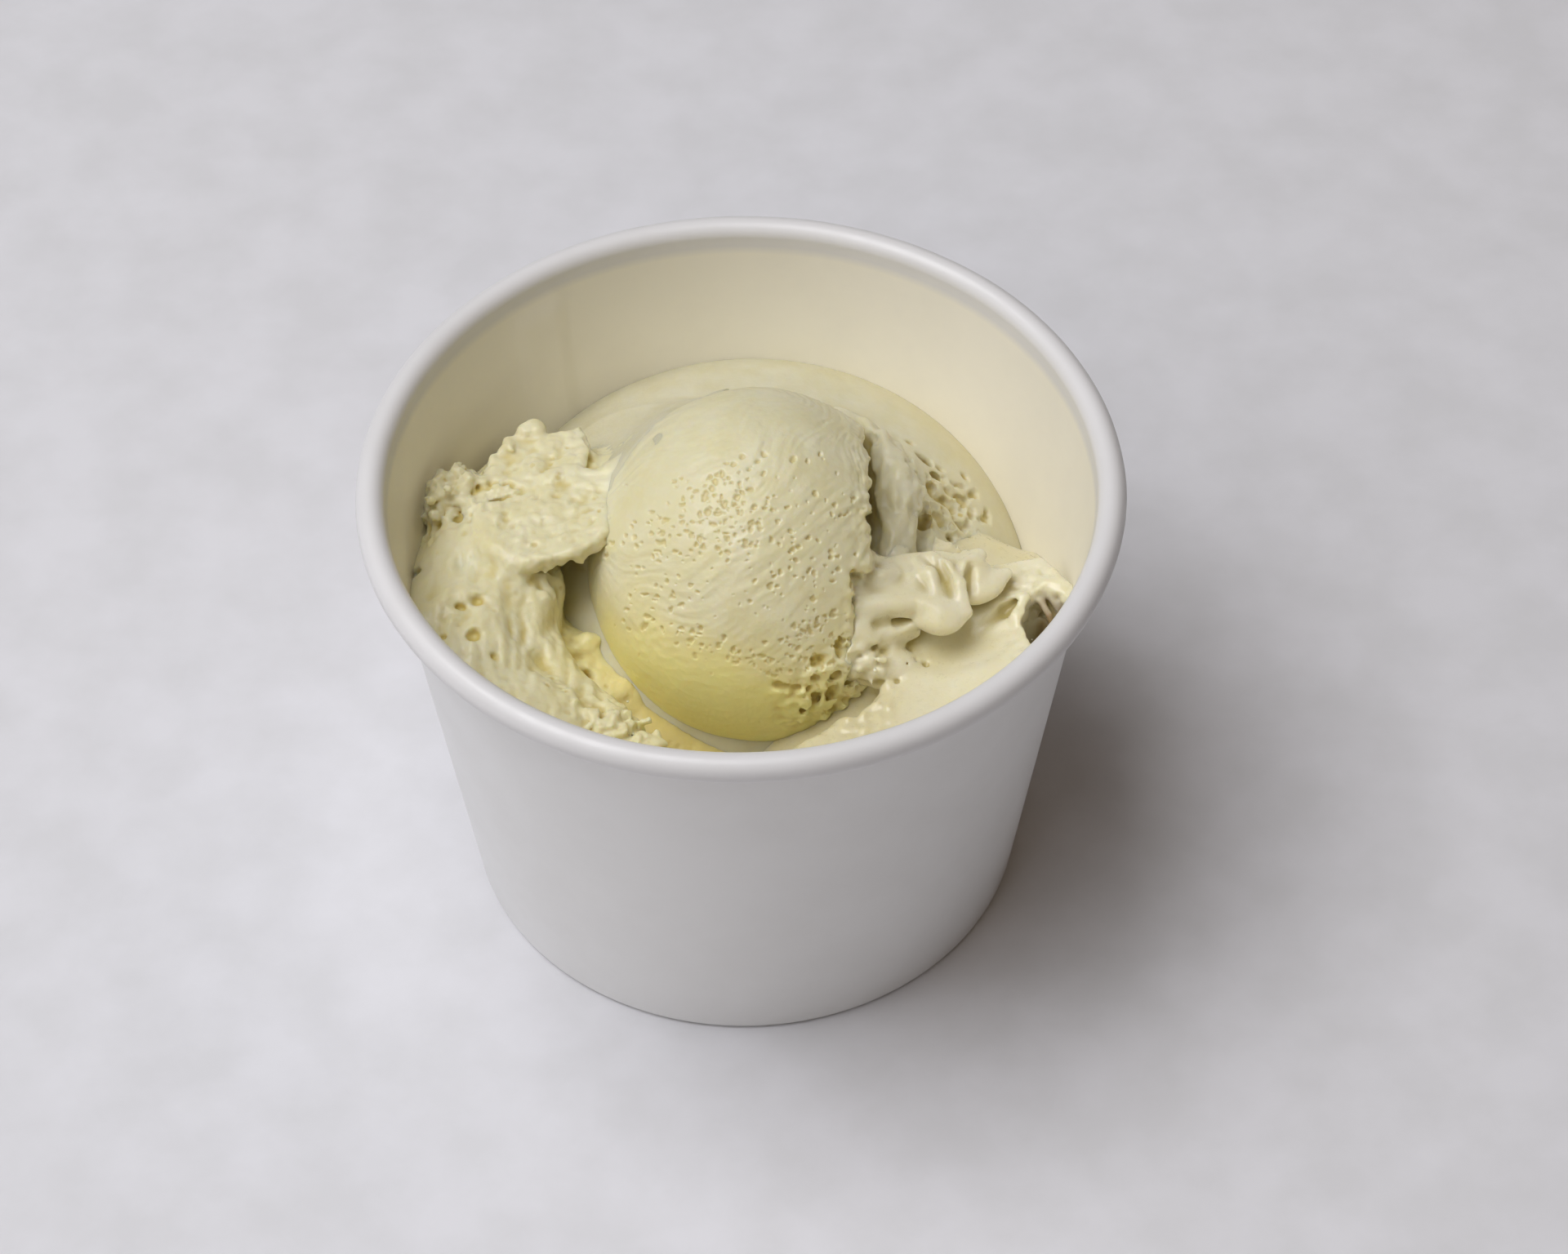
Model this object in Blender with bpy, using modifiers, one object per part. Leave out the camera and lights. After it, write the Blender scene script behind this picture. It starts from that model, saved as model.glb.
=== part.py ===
# A paper gelato cup, filled, with its gelato scoops. Metres, +Z up.
# The origin is on the cup's axis, at the middle of the ring that the cup stands on.
# +X is to the right and -Y is the front, where the round scoop shows.

import math
import random

import bmesh
import bpy
from mathutils import Matrix, Vector

MM = 0.001

# ---- driving dimensions ------------------------------------------------------
RIM_RADIUS = 45.0 * MM  # outer edge of the rolled rim
RIM_HEIGHT = 62.4 * MM  # top of the rolled rim
ROLL_RADIUS = 1.7 * MM  # outside radius of the rolled rim's section
BASE_RADIUS = 34.1 * MM  # outside of the side wall where the cup stands
PAPER = 0.5 * MM  # thickness of the coated paper
GAP = 0.3 * MM  # clearance between neighbouring pieces
FOLD_HEIGHT = 5.9 * MM  # how far the wall's foot is folded up inside
BASE_LEVEL = 6.9 * MM  # middle of the base disc's thickness
SKIRT_FOOT = 1.1 * MM  # lowest edge of the base disc's turned-down skirt
TURNS = 48  # steps round the cup

VOXEL = 0.9 * MM  # grain of the joined gelato shapes
WALL_GAP = 0.5 * MM  # clearance of the gelato to the paper

# the gelato's sizes and places are in millimetres, and its angles in degrees
SCOOP_CENTRE = (1.7, 4.4, 41.0)
SCOOP_RADII = (20.4, 20.4, 22.0)  # across, through, along
SCOOP_LEAN = -42  # the long axis leans to the back
FACE_LEAN = -48.3  # the torn side's own up leans to the back
TEARS = ((14.9, -1.0, 26.0), (13.1, -10.5, 10.0))  # torn off right of x, from how far up, how tall

PARTS = "gelato_cup"
CUTTERS = "gelato_cup_cutters"


def collection(name):
    made = bpy.data.collections.new(name)
    bpy.context.scene.collection.children.link(made)
    return made


def material(name, colour, roughness):
    made = bpy.data.materials.new(name)
    made.use_nodes = True
    shader = made.node_tree.nodes["Principled BSDF"]
    shader.inputs["Base Color"].default_value = (*colour, 1)
    shader.inputs["Roughness"].default_value = roughness
    shader.inputs["Metallic"].default_value = 0
    return made


def add(name, mesh, into, finish=None):
    obj = bpy.data.objects.new(name, mesh)
    into.objects.link(obj)
    if finish:
        mesh.materials.append(finish)
    return obj


def as_cutter(obj):
    obj.hide_render = True
    obj.display_type = "WIRE"
    return obj


def evaluated_mesh(obj):
    bpy.context.view_layer.update()
    graph = bpy.context.evaluated_depsgraph_get()
    return bpy.data.meshes.new_from_object(obj.evaluated_get(graph))


# ---- the paper cup -----------------------------------------------------------
def turned_sheet(name, profile, into, finish):
    """A sheet of paper turned round the Z axis from its middle line, a list of (radius, height)."""
    mesh = bpy.data.meshes.new(name)
    shape = bmesh.new()
    points = [shape.verts.new((radius, 0, height)) for radius, height in profile]
    for first, second in zip(points, points[1:]):
        shape.edges.new((first, second))
    shape.to_mesh(mesh)
    shape.free()
    obj = add(name, mesh, into, finish)
    screw = obj.modifiers.new("Turn", "SCREW")
    screw.axis = "Z"
    screw.steps = screw.render_steps = TURNS
    screw.use_merge_vertices = True
    screw.merge_threshold = 0.00005
    screw.use_smooth_shade = True
    thick = obj.modifiers.new("Paper", "SOLIDIFY")
    thick.thickness = PAPER
    thick.offset = 0
    thick.use_even_offset = True
    return obj


ROLL_LINE = ROLL_RADIUS - PAPER / 2  # radius of the roll's middle line
ROLL_CENTRE = (RIM_RADIUS - ROLL_RADIUS, RIM_HEIGHT - ROLL_RADIUS)
WALL_TOP = ROLL_CENTRE[0] - ROLL_LINE  # middle line of the wall where the roll starts
WALL_FOOT = BASE_RADIUS - PAPER / 2
SLOPE = (WALL_TOP - WALL_FOOT) / ROLL_CENTRE[1]


def wall_line(height, inward=0.0):
    """Radius of the wall's middle line at a height, moved inward by some distance."""
    return WALL_FOOT + SLOPE * height - inward


def wall_profile():
    layer = PAPER + GAP  # from one sheet's middle to the next, in the folded foot
    middle = wall_line(layer, layer)
    line = [(wall_line(FOLD_HEIGHT, 2 * layer), FOLD_HEIGHT)]
    for across, down in ((-1, 0), (-0.6, 1), (0.6, 1), (1, 0)):
        line.append((middle + layer * across, PAPER / 2 + layer * (1 - down)))
    for step in range(9):
        angle = math.radians(180 - 36 * step)
        line.append((ROLL_CENTRE[0] + ROLL_LINE * math.cos(angle),
                     ROLL_CENTRE[1] + ROLL_LINE * math.sin(angle)))
    return line


def base_profile():
    layer = PAPER + GAP
    corner = wall_line(BASE_LEVEL, layer)
    return [
        (0, BASE_LEVEL),
        (corner - 0.7 * MM, BASE_LEVEL),
        (wall_line(BASE_LEVEL - 0.8 * MM, layer), BASE_LEVEL - 0.8 * MM),
        (wall_line(SKIRT_FOOT, layer), SKIRT_FOOT),
    ]


# ---- the gelato --------------------------------------------------------------
def lump(centre, radii, turn=(0, 0, 0)):
    """One smooth lump, an ellipsoid: centre and radii in millimetres, turns in degrees."""
    shape = bmesh.new()
    bmesh.ops.create_icosphere(shape, subdivisions=4, radius=1)
    spin = Matrix.Identity(3)
    for angle, axis in zip(turn, "XYZ"):
        spin = Matrix.Rotation(math.radians(angle), 3, axis) @ spin
    for vert in shape.verts:
        vert.co = spin @ Vector(a * b for a, b in zip(vert.co, radii)) + Vector(centre)
        vert.co *= MM
    return shape


def bar(path, radius):
    """Lumps strung along a path of (x, y, z) points, so close that they join into one bar."""
    lumps = []
    for first, second in zip(path, path[1:]):
        steps = max(1, round(math.dist(first, second) / (0.7 * radius)))
        for step in range(steps):
            share = step / steps
            lumps.append(lump([a + (b - a) * share for a, b in zip(first, second)], [radius] * 3))
    return lumps


def sheet(outline, level, tilt, thick):
    """A flat sheet with a free outline: its middle height, its rise along x and y, and its thickness."""
    shape = bmesh.new()
    middle = [sum(corner[k] for corner in outline) / len(outline) for k in range(2)]
    corners = []
    for x, y in outline:
        height = level - thick / 2 + tilt[0] * (x - middle[0]) + tilt[1] * (y - middle[1])
        corners.append(shape.verts.new(Vector((x, y, height)) * MM))
    grown = bmesh.ops.extrude_face_region(shape, geom=[shape.faces.new(corners)])
    tops = [part for part in grown["geom"] if isinstance(part, bmesh.types.BMVert)]
    bmesh.ops.translate(shape, verts=tops, vec=(0, 0, thick * MM))
    bmesh.ops.recalc_face_normals(shape, faces=shape.faces)
    return shape


def crumbs(centre, spread, radius, count, seed):
    """Small lumps scattered evenly round a centre, of uneven size, always the same for a seed."""
    lumps = []
    draw = random.Random(seed)
    for _ in range(count):
        way = Vector(draw.uniform(-1, 1) for _ in range(3)).normalized()
        place = [c + w * s for c, w, s in zip(centre, way, spread)]
        lumps.append(lump(place, [radius * draw.uniform(0.6, 1.2) for _ in range(3)]))
    return lumps


def joined_mesh(name, lumps):
    """All the lumps in one mesh, still overlapping."""
    joined = bmesh.new()
    for shape in lumps:
        mesh = bpy.data.meshes.new(name)
        shape.to_mesh(mesh)
        shape.free()
        joined.from_mesh(mesh)
        bpy.data.meshes.remove(mesh)
    mesh = bpy.data.meshes.new(name)
    joined.to_mesh(mesh)
    joined.free()
    return mesh


def melted(name, lumps, faces, rounds=3, bites=()):
    """The lumps joined into one closed skin inside the cup, softened where they meet, with
    bites taken out of it, of about that many triangles."""
    obj = add(name, joined_mesh(name, lumps), cutters)
    reskin(obj)
    for bite in bites:
        cut(obj, bite)
    cut(obj, cavity, "INTERSECT")
    reskin(obj)
    soft = obj.modifiers.new("Soften", "SMOOTH")
    soft.factor = 0.5
    soft.iterations = rounds
    dense = evaluated_mesh(obj)
    thin = obj.modifiers.new("Thin", "DECIMATE")
    thin.ratio = min(1, faces / (2 * len(dense.polygons)))
    bpy.data.meshes.remove(dense)
    return as_cutter(obj)


def reskin(obj):
    skin = obj.modifiers.new("Join", "REMESH")
    skin.mode = "VOXEL"
    skin.voxel_size = VOXEL


def cut(obj, tool, operation="DIFFERENCE"):
    step = obj.modifiers.new(operation.title(), "BOOLEAN")
    step.operation = operation
    step.object = tool
    step.solver = "MANIFOLD"


def swollen(obj, distance=GAP):
    """A copy grown on all sides, which cuts the neighbours so that a gap is left."""
    copy = add(obj.name + "_grown", evaluated_mesh(obj), cutters)
    grow = copy.modifiers.new("Grow", "DISPLACE")
    grow.strength = distance
    grow.mid_level = 0
    return as_cutter(copy)


def largest_body(mesh):
    """Drops the crumbs that a cut leaves loose."""
    shape = bmesh.new()
    shape.from_mesh(mesh)
    left = set(shape.verts)
    bodies = []
    while left:
        body, edge = set(), [left.pop()]
        while edge:
            vert = edge.pop()
            body.add(vert)
            near = {link.other_vert(vert) for link in vert.link_edges} & left
            left -= near
            edge += near
        bodies.append(body)
    keep = max(bodies, key=len)
    bmesh.ops.delete(shape, geom=[v for v in shape.verts if v not in keep], context="VERTS")
    shape.to_mesh(mesh)
    shape.free()


def finished(name, rough, tools, finish):
    """The piece itself: the rough shape cut by its neighbours."""
    draft = add(name + "_draft", evaluated_mesh(rough), cutters)
    for tool in tools:
        cut(draft, tool)
    mesh = evaluated_mesh(draft)
    largest_body(mesh)
    mesh.materials.clear()
    obj = add(name, mesh, parts, finish)
    mesh.shade_smooth()
    mesh.set_sharp_from_angle(angle=math.radians(50))
    as_cutter(draft)
    return obj


for old in list(bpy.data.objects):
    bpy.data.objects.remove(old, do_unlink=True)
parts = collection(PARTS)
cutters = collection(CUTTERS)

paper = material("coated_paperboard", (0.83, 0.83, 0.82), 0.35)
gelato = material("pistachio_gelato", (0.68, 0.62, 0.34), 0.5)
pale_gelato = material("pale_gelato", (0.72, 0.67, 0.42), 0.45)

cup_wall = turned_sheet("cup_wall", wall_profile(), parts, paper)
cup_base = turned_sheet("cup_base", base_profile(), parts, paper)

# the free space inside the cup, which the gelato can't leave
floor = BASE_LEVEL + PAPER / 2 + GAP
lid = RIM_HEIGHT + 10 * MM
cavity_mesh = bpy.data.meshes.new("cavity")
shape = bmesh.new()
bmesh.ops.create_cone(
    shape, cap_ends=True, segments=TURNS, depth=lid - floor,
    radius1=wall_line(floor, PAPER / 2 + WALL_GAP),
    radius2=wall_line(lid, PAPER / 2 + WALL_GAP),
    matrix=Matrix.Translation((0, 0, (lid + floor) / 2)),
)
shape.to_mesh(cavity_mesh)
shape.free()
cavity = as_cutter(add("cavity", cavity_mesh, cutters))

# the round front scoop: an egg that leans back, torn off in two flat steps on its right
tears = []
for side, start, height in TEARS:
    middle = Vector((side + 10 - SCOOP_CENTRE[0], 0, start + height / 2))
    shape = bmesh.new()
    bmesh.ops.create_cube(
        shape, size=1, matrix=Matrix.Translation(Vector(SCOOP_CENTRE) * MM)
        @ Matrix.Rotation(math.radians(FACE_LEAN), 4, "X")
        @ Matrix.Translation(middle * MM) @ Matrix.Diagonal((20 * MM, 60 * MM, height * MM, 1)))
    tears.append(as_cutter(add("tear", joined_mesh("tear", [shape]), cutters)))
scoop = melted("scoop", [lump(SCOOP_CENTRE, SCOOP_RADII, (SCOOP_LEAN, 0, 0))], 900, bites=tears)

# the back scoop: a low dome against the back wall, and the raised lip beside the tear
lip = [(13.0, 22.8, 47.6), (15.6, 19.5, 48.3), (17.8, 14.8, 48.6), (18.6, 9.8, 48.0), (18.4, 5.0, 46.8)]
gutter = bar([(14.2, 19.0, 50.0), (14.8, 12.0, 49.8), (14.8, 4.0, 48.6), (14.4, -2.0, 47.4)], 1.7)
dent = bar([(22.0, 10.0, 46.2), (21.4, 5.0, 44.8)], 1.5)
crack = as_cutter(add("crack", joined_mesh("crack", gutter + dent), cutters))
dome = melted("dome", [
    lump((1.3, 16.5, 24), (35.2, 33.5, 25)),
    lump((16, 10, 40), (7, 13, 9)),
] + bar(lip, 2.2), 850, rounds=2, bites=[crack])

# the right fold: a sheet that sags over the right side, and a tongue folded onto it
skirt = [(12.4, -11.0), (17.2, -13.0), (15.2, -17.0), (11.2, -19.2), (7.2, -21.6), (2.0, -26), (2, -38),
         (24, -38), (40, -20), (41, -4), (36, 3), (24, 2), (15.0, -3)]
under = [(12.2, -13.2), (12.9, -7.0), (20.5, -5.0), (21.0, -8.0), (18.6, -10.0), (15.2, -12.0)]
tongue = [(13.0, -9.4), (12.8, -3.0), (16.0, -1.0), (23.0, 0.9), (29.6, 0.0), (29.5, -3.6), (24.5, -8.4),
          (20.4, -8.6)]
hollow = [lump((36.0, -7.4, 46), (2.9, 5.0, 12), (0, 6, 10))]
shade = bar([(20.0, -11.6, 43.9), (23.3, -12.1, 43.9), (27.4, -9.8, 44.0), (32.0, -5.6, 44.4)], 1.0)
hole = as_cutter(add("hole", joined_mesh("hole", hollow), cutters))
below = as_cutter(add("below", joined_mesh("below", shade), cutters))
fold = melted("fold", [
    lump((24, -6, 20), (29, 30, 18.5)),
    lump((33.5, -1, 32.0), (9, 15, 8.0)),
    sheet(skirt, 39.3, (0.15, 0.03), 4.4),
    sheet(under, 44.1, (0.0, 0.02), 3.2),
    sheet(tongue, 47.3, (-0.09, 0.03), 3.0),
    lump((23.4, -7.2, 46.3), (3.5, 3.4, 2.5)),  # the tongue's main drop
    lump((28.2, -3.3, 46.2), (3.4, 2.8, 2.1), (0, 0, 28)),  # its second drop
], 1500, rounds=1, bites=[hole, below])

# the left heap: the bed under the scoop, the heap's body, its flap and the lump by the wall
flap = [(-27.0, 21.6), (-19.8, 21.0), (-18.8, 12.6), (-15.4, 9.5), (-15.7, 0.8), (-20.5, -2.8), (-26, -3.4),
        (-31, 0.5), (-33, 8), (-31, 15)]
edge = [(-25.3, 0.5, 44.5), (-25.0, -6.5, 42), (-21.0, -14, 40.3), (-13, -21, 40.3)]
strip = [(-22.0, -1.5, 34.0), (-17.5, -9, 32.6), (-10.5, -14.5, 28.8), (0, -16.8, 26.4)]
heap = melted("heap", [
    lump((-4, -4, 8), (46, 46, 20)),
    lump((-33, -8, 32), (13, 23, 16.5)),
    lump((-26, -22, 35.5), (13, 12, 11)),
    lump((-31, 8, 37.5), (9.5, 12, 9)),
    lump((-25, 15, 42), (8.0, 9, 5.5)),
    lump((-30, 1, 43.2), (7.5, 7.5, 5.2)),
    sheet(flap, 49.1, (0.11, -0.09), 2.6),
    lump((-35.3, 10.8, 46.1), (3.7, 4.4, 4.2)),
] + bar(edge, 2.1) + bar(strip, 3.8)
  + crumbs((-35, 11, 47.0), (2.6, 3.0, 2.4), 1.8, 10, 3)
  + crumbs((-15.6, -22.2, 42.6), (4.0, 3.0, 1.4), 1.8, 10, 8), 1900, rounds=1)

front_scoop = finished("front_scoop", scoop, [], gelato)
scoop_room = swollen(scoop)
fold_room = swollen(fold)
dome_room = swollen(dome)
right_fold = finished("right_fold", fold, [scoop_room], pale_gelato)
back_scoop = finished("back_scoop", dome, [scoop_room, fold_room], gelato)
left_heap = finished("left_heap", heap, [scoop_room, fold_room, dome_room], gelato)
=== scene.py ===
import math
import bmesh
import bpy
import numpy as np
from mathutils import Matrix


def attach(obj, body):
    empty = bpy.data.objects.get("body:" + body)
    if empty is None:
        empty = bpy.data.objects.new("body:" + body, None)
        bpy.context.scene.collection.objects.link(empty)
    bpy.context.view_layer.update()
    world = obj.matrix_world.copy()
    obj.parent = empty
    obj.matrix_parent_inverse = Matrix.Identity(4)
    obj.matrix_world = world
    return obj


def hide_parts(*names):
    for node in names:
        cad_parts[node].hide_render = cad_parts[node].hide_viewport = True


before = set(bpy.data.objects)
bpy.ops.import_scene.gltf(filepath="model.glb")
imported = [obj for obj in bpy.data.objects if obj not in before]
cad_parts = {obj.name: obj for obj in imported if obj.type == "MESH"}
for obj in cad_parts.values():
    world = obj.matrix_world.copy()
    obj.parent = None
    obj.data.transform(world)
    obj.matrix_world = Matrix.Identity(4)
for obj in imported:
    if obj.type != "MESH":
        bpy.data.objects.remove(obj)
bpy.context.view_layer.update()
import openvdb as vdb
from mathutils import Euler, Matrix, Vector

mm = 0.001


def toLinear(hexColour):
    parts = [int(hexColour[i:i + 2], 16) / 255 for i in (1, 3, 5)]
    return tuple(c / 12.92 if c <= 0.04045 else ((c + 0.055) / 1.055) ** 2.4 for c in parts) + (1.0,)


def addNode(tree, kind, settings=None, **links):
    # a link named i6 goes to socket 6, and Base_Color to Base Color
    node = tree.nodes.new(kind)
    for name, value in (settings or {}).items():
        if name in node.inputs:
            node.inputs[name].default_value = value
        else:
            setattr(node, name, value)
    for name, source in links.items():
        key = int(name[1:]) if name[0] == "i" and name[1:].isdigit() else name.replace("_", " ")
        tree.links.new(source, node.inputs[key])
    return node


def meshFrom(name, points, quads, tris=(), smooth=True):
    mesh = bpy.data.meshes.new(name)
    faces = [tuple(q) for q in np.asarray(quads).tolist()] + [tuple(t) for t in np.asarray(tris).tolist()]
    mesh.from_pydata((np.asarray(points, float) * mm).tolist(), [], faces)
    mesh.validate()
    if smooth:
        mesh.shade_smooth()
    piece = bpy.data.objects.new(name, mesh)
    bpy.context.scene.collection.objects.link(piece)
    return piece


# the cup is turned from one line down the middle of its paper, in millimetres
cup = {
    "rimRadius": 45.0, "rimHeight": 62.4, "rollRadius": 1.7, "footRadius": 34.1,
    "paper": 0.5, "gap": 0.3, "foldHeight": 5.9, "baseLevel": 6.9, "skirtFoot": 1.1,
    "turns": 288, "seamAngle": 123, "seamWidth": 9, "seamStep": 0.3, "waver": 0.12,
}
rollLine = cup["rollRadius"] - cup["paper"] / 2
rollCentre = (cup["rimRadius"] - cup["rollRadius"], cup["rimHeight"] - cup["rollRadius"])
wallFoot = cup["footRadius"] - cup["paper"] / 2
wallSlope = (rollCentre[0] - rollLine - wallFoot) / rollCentre[1]


def wallLine(height, inward=0.0):
    return wallFoot + wallSlope * height - inward


def sheetSection(line, thickness, fine=0.9):  # both faces of a sheet, with round cut edges
    dense = [line[0]]
    for a, b in zip(line, line[1:]):
        steps = max(1, round(math.dist(a, b) / fine))
        dense += [tuple(p + (q - p) * s / steps for p, q in zip(a, b)) for s in range(1, steps + 1)]
    line = np.array(dense)
    along = np.gradient(line, axis=0)
    along /= np.linalg.norm(along, axis=1)[:, None]
    side = np.stack([along[:, 1], -along[:, 0]], 1) * thickness / 2
    tip = along * thickness / 2
    ends = [line[0] - tip[0] * 0.6 + side[0] * 0.7, line[0] - tip[0] * 0.6 - side[0] * 0.7]
    outs = [line[-1] + tip[-1] * 0.6 - side[-1] * 0.7, line[-1] + tip[-1] * 0.6 + side[-1] * 0.7]
    return np.array(list(line - side) + outs + list((line + side)[::-1]) + ends)


def turnedPiece(name, section, moved):  # the closed section turned round the axis, then moved a little
    turns = cup["turns"]
    angle = np.arange(turns) * 2 * math.pi / turns
    r, z = section[:, 0][None, :], section[:, 1][None, :]
    points = np.stack([r * np.cos(angle)[:, None], r * np.sin(angle)[:, None], z + 0 * angle[:, None]], 2)
    points = moved(points, angle[:, None] + 0 * r, r + 0 * angle[:, None])
    n = len(section)
    i, j = np.meshgrid(np.arange(turns), np.arange(n), indexing="ij")
    i2, j2 = (i + 1) % turns, (j + 1) % n
    quads = np.stack([i * n + j, i2 * n + j, i2 * n + j2, i * n + j2], 2).reshape(-1, 4)
    return meshFrom(name, points.reshape(-1, 3), quads)


def wallMiddle():  # from the fold round the base's skirt, up the wall and round the rolled rim
    layer = cup["paper"] + cup["gap"]
    line = [(wallLine(cup["foldHeight"], 2 * layer), cup["foldHeight"])]
    middle = wallLine(layer, layer)
    for step in range(13):
        a = math.radians(180 + 15 * step)
        line.append((middle + layer * math.cos(a), cup["paper"] / 2 + layer + layer * math.sin(a)))
    for step in range(33):
        a = math.radians(180 - 9 * step)
        line.append((rollCentre[0] + rollLine * math.cos(a), rollCentre[1] + rollLine * math.sin(a)))
    return line


def baseMiddle():  # the disc and its turned-down skirt
    corner = wallLine(cup["baseLevel"], cup["paper"] + cup["gap"])
    line = [(0.02, cup["baseLevel"]), (corner - 1.6, cup["baseLevel"])]
    for step in range(1, 6):
        a = math.radians(90 - 16 * step)
        line.append((corner - 1.6 + 1.35 * math.cos(a), cup["baseLevel"] - 1.35 + 1.35 * math.sin(a)))
    line.append((wallLine(cup["skirtFoot"], cup["paper"] + cup["gap"]), cup["skirtFoot"]))
    return line


def wobble(angle, seed):  # slow uneven waves round the cup, between about -1 and 1
    draw = np.random.default_rng(seed)
    total = 0
    for waves in (2, 3, 4, 6, 9, 14, 23):
        total = total + draw.uniform(0.5, 1) / waves ** 0.6 * np.cos(waves * angle + draw.uniform(0, 6.28))
    return total / 1.6


def handMade(points, angle, r):  # the roll wavers, and the glued overlap of the seam is one step thicker
    z = points[:, :, 2]
    up = np.clip((z - 40) / 20, 0, 1) ** 2
    past = (angle - math.radians(cup["seamAngle"]) + math.pi) % (2 * math.pi) - math.pi
    lap = np.clip(past / 0.01 + 0.5, 0, 1)
    lap = lap - np.clip((past - math.radians(cup["seamWidth"])) / 0.03 + 0.5, 0, 1)
    ends = np.clip((z - 8) / 2, 0, 1) * np.clip((59 - z) / 3, 0, 1)
    step = np.where(wallLine(z) > r, -cup["seamStep"], 0) * lap * ends
    grow = cup["waver"] * up * wobble(angle, 5) + step
    points[:, :, 0] += grow * np.cos(angle)
    points[:, :, 1] += grow * np.sin(angle)
    points[:, :, 2] += 0.07 * up * wobble(angle, 6) - 0.05 * up
    return points


cupWall = turnedPiece("cupWall", sheetSection(wallMiddle(), cup["paper"]), handMade)
cupBase = turnedPiece("cupBase", sheetSection(baseMiddle(), cup["paper"]), lambda points, angle, r: points)
print("cup: paper wall and base turned")


# the gelato is worked like clay: distance fields on one grid, in millimetres, negative inside
clayGrid = {"grain": 0.25, "low": (-43.0, -43.0, 6.5), "high": (43.0, 43.0, 64.0), "touch": 1.2}
grain, low = clayGrid["grain"], np.array(clayGrid["low"])
count = np.ceil((np.array(clayGrid["high"]) - low) / grain).astype(int) + 1
axes = [(low[k] + grain * np.arange(count[k])).astype(np.float32) for k in range(3)]
spot = [axes[0][:, None, None], axes[1][None, :, None], axes[2][None, None, :]]


def window(centre, reach):
    cut = []
    for k in range(3):
        a = int(np.floor((centre[k] - reach[k] - low[k]) / grain))
        b = int(np.ceil((centre[k] + reach[k] - low[k]) / grain)) + 1
        cut.append(slice(max(0, a), max(0, min(count[k], b))))
    return tuple(cut)


def blendMin(a, b, soft):
    h = np.maximum(soft - np.abs(a - b), 0) / soft
    return np.minimum(a, b) - h * h * soft / 4


def lumpField(cut, centre, radii, turn=(0, 0, 0)):
    spin = np.array(Euler([math.radians(t) for t in turn]).to_matrix()).T
    d = [spot[0][cut[0]] - centre[0], spot[1][:, cut[1]] - centre[1], spot[2][:, :, cut[2]] - centre[2]]
    near, grow = 0, 0
    for row, radius in zip(spin, radii):
        q = (row[0] * d[0] + row[1] * d[1] + row[2] * d[2]).astype(np.float32)
        near = near + (q / radius) ** 2
        grow = grow + (q / radius ** 2) ** 2
    near = np.sqrt(near)
    return near * (near - 1) / np.sqrt(grow + 1e-9)


def barField(cut, start, end, r0, r1):
    d = [spot[0][cut[0]] - start[0], spot[1][:, cut[1]] - start[1], spot[2][:, :, cut[2]] - start[2]]
    way = np.array(end, float) - start
    share = (d[0] * way[0] + d[1] * way[1] + d[2] * way[2]) / (way @ way)
    share = np.clip(share, 0, 1).astype(np.float32)
    far = np.sqrt(sum((d[k] - share * way[k]) ** 2 for k in range(3)))
    return far - (r0 + (r1 - r0) * share)


def newClay():
    return np.full(tuple(count), 6.0, np.float32)


def addLump(clay, centre, radii, turn=(0, 0, 0), soft=2.0):
    cut = window(centre, (max(radii) + 5,) * 3)
    clay[cut] = blendMin(clay[cut], lumpField(cut, centre, radii, turn), soft)


def cutLump(clay, centre, radii, turn=(0, 0, 0), soft=0.6):
    cut = window(centre, (max(radii) + 2,) * 3)
    clay[cut] = -blendMin(-clay[cut], lumpField(cut, centre, radii, turn), soft)


def workBar(clay, path, radii, soft, adds):  # a round bar along the path, added or cut away
    for (a, b), (r0, r1) in zip(zip(path, path[1:]), zip(radii, radii[1:])):
        middle = [(p + q) / 2 for p, q in zip(a, b)]
        cut = window(middle, [abs(p - q) / 2 + max(r0, r1) + 5 for p, q in zip(a, b)])
        bar = barField(cut, a, b, r0, r1)
        clay[cut] = blendMin(clay[cut], bar, soft) if adds else -blendMin(-clay[cut], bar, soft)


def addBar(clay, path, radii, soft=1.5):
    workBar(clay, path, radii, soft, True)


def cutBar(clay, path, radii, soft=0.5):
    workBar(clay, path, radii, soft, False)


def cutRim(clay, field, cut, soft):
    clay[cut] = -blendMin(-clay[cut], field[cut], soft)


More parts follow.
